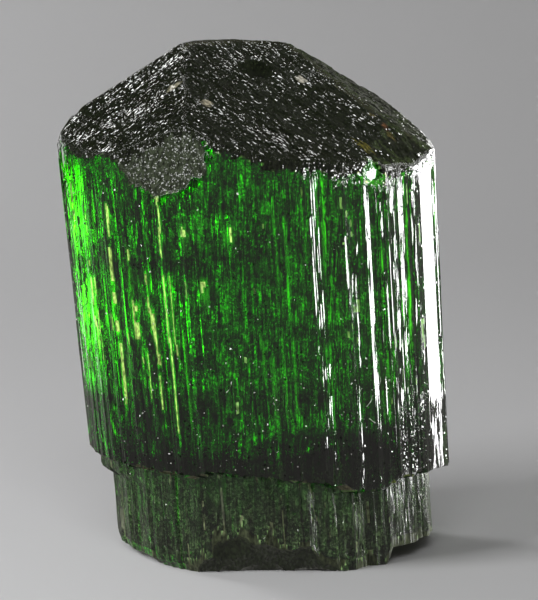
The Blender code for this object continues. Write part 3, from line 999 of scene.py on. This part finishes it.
# %% A class that adds nodes
class Nodes:
    """A material's node tree, with short ways to add the nodes that the finishes use."""

    def __init__(self, name):
        self.material = bpy.data.materials.new(name)
        self.material.use_nodes = True
        self.tree = self.material.node_tree
        self.tree.nodes.clear()
        self.output = self.add("OutputMaterial")
        self.shader = self.add("BsdfPrincipled")
        self.link(self.shader.outputs["BSDF"], self.output.inputs["Surface"])

    def add(self, kind, **settings):
        node = self.tree.nodes.new("ShaderNode" + kind)
        for key, value in settings.items():
            setattr(node, key, value)
        return node

    def link(self, start, end):
        self.tree.links.new(start, end)

    def attribute(self, name, output):
        return self.add("Attribute", attribute_name=name).outputs[output]

    def stretched(self, size):
        """The place in the crystal in grains of this size (mm)."""
        node = self.add("VectorMath", operation="MULTIPLY")
        self.link(self.add("TexCoord").outputs["Object"], node.inputs[0])
        node.inputs[1].default_value = [1 / (v * MM) for v in size]
        return node.outputs[0]

    def noise(self, size):
        node = self.add("TexNoise")
        for key, number in (("Scale", 1.0), ("Detail", 3.0), ("Roughness", 0.6)):
            node.inputs[key].default_value = number
        self.link(self.stretched(size), node.inputs["Vector"])
        return node.outputs["Fac"]

    def cells(self, vector):
        """A random colour for each cell of a broken pattern."""
        node = self.add("TexVoronoi", feature="F1")
        node.inputs["Scale"].default_value = 1.0
        self.link(vector, node.inputs["Vector"])
        return node.outputs["Color"]

    def one_of(self, colour):
        node = self.add("SeparateColor")
        self.link(colour, node.inputs["Color"])
        return node.outputs["Red"]

    def window(self, value, start, end, dark, bright):
        """Stretches the values from start to end over those from dark to bright."""
        node = self.add("MapRange")
        settings = (("From Min", start), ("From Max", end), ("To Min", dark), ("To Max", bright))
        for key, number in settings:
            node.inputs[key].default_value = number
        self.link(value, node.inputs["Value"])
        return node.outputs["Result"]

    def times(self, *values):
        product = values[0]
        for value in values[1:]:
            node = self.add("Math", operation="MULTIPLY")
            self.link(product, node.inputs[0])
            self.link(value, node.inputs[1])
            product = node.outputs[0]
        return product

    def vector(self, operation, a, b):
        node = self.add("VectorMath", operation=operation)
        for socket, value in ((node.inputs[0], a), (node.inputs[1], b)):
            if isinstance(value, tuple):
                socket.default_value = value
            else:
                self.link(value, socket)
        return node.outputs[0]

    def scaled(self, vector, factor):
        node = self.add("VectorMath", operation="SCALE")
        self.link(vector, node.inputs[0])
        self.link(factor, node.inputs["Scale"])
        return node.outputs[0]

    def tinted(self, factor):
        """The points' own colour times a factor."""
        colour = self.scaled(self.attribute("tint", "Color"), factor)
        self.link(colour, self.shader.inputs["Base Color"])

    def facets(self, tilt, specks):
        """Turns each cell of the grain into a small flat facet with a tilt of its own."""
        middle = (0.5, 0.5, 0.5)
        grain = self.attribute("grain", "Vector")
        fine = self.vector("SUBTRACT", self.cells(grain), middle)
        coarse = self.cells(self.vector("MULTIPLY", grain, (0.31, 0.31, 0.31)))
        coarse = self.vector("SUBTRACT", coarse, middle)
        turned = self.vector("ADD", fine, self.vector("MULTIPLY", coarse, middle))
        turned = self.vector("MULTIPLY", turned, tilt)
        turned = self.scaled(turned, self.attribute("relief", "Fac"))
        chip = self.cells(self.stretched((0.09, 0.09, 0.09)))
        lost = self.window(self.one_of(chip), 1.0 - specks, 1.0 - 0.99 * specks, 0.0, 1.5)
        chip = self.scaled(self.vector("SUBTRACT", chip, (1.0, 0.5, 0.5)), lost)
        turned = self.vector("ADD", turned, chip)
        turned = self.vector("ADD", self.add("NewGeometry").outputs["Normal"], turned)
        turned = self.vector("NORMALIZE", turned, (0.0, 0.0, 0.0))
        self.link(turned, self.shader.inputs["Normal"])
        self.link(self.attribute("rough", "Fac"), self.shader.inputs["Roughness"])


# %% Clear and frosted crystal
TOURMALINE_IOR = 1.64


def see_through(name, transmission, darkest):
    """Clear green crystal, broken up by needles, flecks and blots under its faces."""
    nodes = Nodes(name)
    nodes.shader.inputs["IOR"].default_value = TOURMALINE_IOR
    nodes.shader.inputs["Transmission Weight"].default_value = transmission
    absorb = nodes.add("VolumeAbsorption")
    absorb.inputs["Color"].default_value = (0.50, 0.93, 0.1, 1.0)
    absorb.inputs["Density"].default_value = 300.0
    nodes.link(absorb.outputs["Volume"], nodes.output.inputs["Volume"])
    needles = nodes.one_of(nodes.cells(nodes.stretched((0.10, 0.10, 1.2))))
    needles = nodes.window(needles, 0.4, 0.95, darkest, 1.0)
    flecks = nodes.one_of(nodes.cells(nodes.stretched((0.14, 0.14, 0.13))))
    flecks = nodes.window(flecks, 0.45, 1.0, 0.25, 1.6)
    blots = nodes.window(nodes.noise((0.9, 0.9, 0.7)), 0.37, 0.56, darkest * 2.5, 1.0)
    specks = nodes.one_of(nodes.cells(nodes.stretched((0.085, 0.085, 0.085))))
    specks = nodes.window(specks, 0.95, 0.97, 0.0, 1.0)
    brighter = nodes.add("Math", operation="MAXIMUM")
    nodes.link(nodes.times(needles, flecks, blots), brighter.inputs[0])
    nodes.link(nodes.times(specks, blots), brighter.inputs[1])
    mended = nodes.add("MapRange")
    nodes.link(nodes.attribute("clarity", "Fac"), mended.inputs["Value"])
    nodes.link(brighter.outputs[0], mended.inputs["To Min"])
    nodes.tinted(mended.outputs["Result"])
    nodes.facets((0.9, 0.9, 0.3), 0.03)
    return nodes


clear_green = see_through("green_tourmaline", 0.98, 0.06)
frosted_green = see_through("frosted_tourmaline", 0.72, 0.25)
print("nodes in the clear finish:", len(clear_green.tree.nodes))

# %% Opaque skin
skin_coat = Nodes("tourmaline_skin")
skin_coat.shader.inputs["IOR"].default_value = TOURMALINE_IOR
skin_coat.shader.inputs["Specular IOR Level"].default_value = 0.3
mottling = skin_coat.window(skin_coat.noise((0.15, 0.15, 0.3)), 0.35, 0.65, 0.3, 1.7)
skin_coat.tinted(mottling)
skin_coat.facets((0.9, 0.9, 0.9), 0.0)
for finish in (clear_green, skin_coat, frosted_green):
    crystal_mesh.materials.append(finish.material)
print("finishes:", [material.name for material in crystal_mesh.materials])

# %% Put the mesh in the solid's place
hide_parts("tourmaline_crystal")
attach(crystal, "root")
print("faces of the piece:", len(crystal_mesh.polygons))

# %% [markdown]
# ## The paper
#
# The crystal stands on a sheet of pale paper that sweeps up behind it, so that no line parts
# the floor from the background. The sheet is hidden from mirror rays: otherwise the facets that
# tilt down would mirror it and turn grey.

# %% Paper sweep
SWEEP_SIDE, SWEEP_FRONT, SWEEP_BACK, SWEEP_CURVE, SWEEP_TOP = 300.0, -300.0, 170.0, 150.0, 420.0


def paper(name, colour):
    sheet = bpy.data.materials.new(name)
    sheet.use_nodes = True
    flat = sheet.node_tree.nodes["Principled BSDF"]
    flat.inputs["Base Color"].default_value = (*colour, 1.0)
    flat.inputs["Roughness"].default_value = 0.85
    return sheet


profile = [(SWEEP_FRONT, 0.0), (SWEEP_BACK, 0.0)]
for turn in np.radians(np.arange(6, 91, 6)):
    rise = SWEEP_CURVE - SWEEP_CURVE * math.cos(turn)
    profile.append((SWEEP_BACK + SWEEP_CURVE * math.sin(turn), rise))
profile.append((SWEEP_BACK + SWEEP_CURVE, SWEEP_TOP))
sweep_points = []
for back, up in profile:
    sweep_points += [(side * MM, back * MM, up * MM) for side in (-SWEEP_SIDE, SWEEP_SIDE)]
sweep_quads = [(2 * i, 2 * i + 1, 2 * i + 3, 2 * i + 2) for i in range(len(profile) - 1)]
sweep_mesh = bpy.data.meshes.new("paper_sweep")
sweep_mesh.from_pydata(sweep_points, [], sweep_quads)
sweep_mesh.materials.append(paper("pale_paper", (0.60, 0.60, 0.61)))
for polygon in sweep_mesh.polygons:
    polygon.use_smooth = True
sweep = bpy.data.objects.new("paper_sweep", sweep_mesh)
bpy.context.scene.collection.objects.link(sweep)
sweep.visible_glossy = False
sweep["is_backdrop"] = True
print("paper strips:", len(sweep_quads))


# %% [markdown]
# ## Lamps
#
# A soft lamp high on the left lights everything. The other lamps are linked to the crystal
# alone or to the paper alone, so that each can be set by itself: two from above and behind for
# the sparkle of the termination, panels behind that the striations mirror and that send green
# light through the body, a narrow panel for the white lines, and one for the glint. Two lamps
# set how bright the background and the floor are.

# %% Set up the lamps
def lamp(name, azimuth, elevation, distance, size, radiance, aim=(0.0, 0.0, 13.0)):
    """A flat panel that faces the crystal, as bright as its radiance says."""
    data = bpy.data.lights.new(name, "AREA")
    data.shape = "RECTANGLE"
    data.size, data.size_y = size[0] * MM, size[1] * MM
    data.energy = radiance * math.pi * data.size * data.size_y
    panel = bpy.data.objects.new(name, data)
    turn, rise = math.radians(azimuth), math.radians(elevation)
    level = math.cos(rise)
    towards = np.array([level * math.cos(turn), level * math.sin(turn), math.sin(rise)])
    panel.location = [float(v) * MM for v in np.array(aim) + towards * distance]
    panel.rotation_euler = (math.pi / 2 - rise, 0.0, turn + math.pi / 2)
    bpy.context.scene.collection.objects.link(panel)
    return panel


def only_on(panel, receiver):
    """Lets a lamp light one object and nothing else."""
    group = bpy.data.collections.new(panel.name + "_on")
    group.objects.link(receiver)
    panel.light_linking.receiver_collection = group


lamp("key_left", 216, 31, 210, (100, 70), 15.0)
crystal_lamps = (
    lamp("top_back_left", 124, 43, 260, (42, 38), 17.0),
    lamp("top_back_right", 74, 50, 260, (24, 24), 11.0),
    lamp("panel_back_right", 51, 3, 70, (42, 31), 9.2),
    lamp("panel_low_right", 51.5, -4, 26, (4, 7), 8.0, aim=(9.0, -3.0, 6.0)),
    lamp("backlight", 90, 1, 38, (60, 25), 1.2),
    lamp("strip_right", 0, 2, 66, (9, 29), 20.0),
    lamp("glint_right", 2, 22, 70, (18, 18), 30.0),
)
paper_lamps = (
    lamp("back_wash", 158, 38, 330, (90, 70), 40.0, aim=(-60.0, 190.0, -5.0)),
    lamp("floor_fill", 270, 35, 400, (160, 160), 5.4),
)
for panel in crystal_lamps:
    only_on(panel, crystal)
for panel in paper_lamps:
    only_on(panel, sweep)
print("lamps on the crystal and on the paper:", len(crystal_lamps), len(paper_lamps))

# %% [markdown]
# ## Card and sky
#
# Glassy things need something dark to mirror, or they look milky. A black card stands behind on
# the left, seen by the crystal in reflections and through its body, but not by the camera. The
# sky is dim, and brighter below the horizon, which stands in for the paper that the mirror rays
# don't see.

# %% A black card for the crystal to mirror
card_mesh = bpy.data.meshes.new("black_card")
card_points = []
for card_x, card_y in ((-30.0, 150.0), (-190.0, 20.0)):
    card_points += [(card_x * MM, card_y * MM, card_z * MM) for card_z in (0.5, 90.0)]
card_mesh.from_pydata(card_points, [], [(0, 1, 3, 2)])
card_mesh.materials.append(paper("black_card", (0.01, 0.01, 0.01)))
card = bpy.data.objects.new("black_card", card_mesh)
bpy.context.scene.collection.objects.link(card)
card.visible_camera = card.visible_shadow = card.visible_diffuse = False
card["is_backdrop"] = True
print("card corners:", len(card_points))

# %% Sky
world = bpy.data.worlds.new("studio")
bpy.context.scene.world = world
world.use_nodes = True
sky_nodes, sky_links = world.node_tree.nodes, world.node_tree.links
sky = sky_nodes["Background"]
sky.inputs["Color"].default_value = (1.0, 0.98, 0.91, 1.0)
direction = sky_nodes.new("ShaderNodeTexCoord")
upward = sky_nodes.new("ShaderNodeSeparateXYZ")
floor_glow = sky_nodes.new("ShaderNodeMapRange")
sky_links.new(direction.outputs["Generated"], upward.inputs["Vector"])
sky_links.new(upward.outputs["Z"], floor_glow.inputs["Value"])
sky_links.new(floor_glow.outputs["Result"], sky.inputs["Strength"])
for socket, value in (("From Min", -0.05), ("From Max", 0.25), ("To Min", 0.29), ("To Max", 0.09)):
    floor_glow.inputs[socket].default_value = value
print("sky nodes:", len(sky_nodes))

# %% [markdown]
# ## Camera
#
# The camera looks down at the crystal by seven degrees from 200 mm away, with a long lens, so
# that the prism's edges stay nearly parallel. The standard view transform keeps the green as
# deep as the light makes it.

# %% Set up the camera
CAMERA_TILT, CAMERA_DISTANCE = math.radians(7.0), 200.0
AIM_X, AIM_Y, AIM_Z = 0.88, 0.32, 14.7
camera_data = bpy.data.cameras.new("camera")
camera = bpy.data.objects.new("camera", camera_data)
bpy.context.scene.collection.objects.link(camera)
camera_y = AIM_Y - CAMERA_DISTANCE * math.cos(CAMERA_TILT)
camera_z = AIM_Z + CAMERA_DISTANCE * math.sin(CAMERA_TILT)
camera.location = (AIM_X * MM, camera_y * MM, camera_z * MM)
camera.rotation_euler = (math.pi / 2 - CAMERA_TILT, 0.0, 0.0)
camera_data.sensor_width = 36.0
camera_data.lens = 202.2
camera_data.clip_start = 0.005
camera_data.clip_end = 10.0
bpy.context.scene.camera = camera
bpy.context.scene.view_settings.view_transform = "Standard"
print("camera at", [round(v / MM, 1) for v in camera.location])

# %% Finish
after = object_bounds()
print("scene", after)
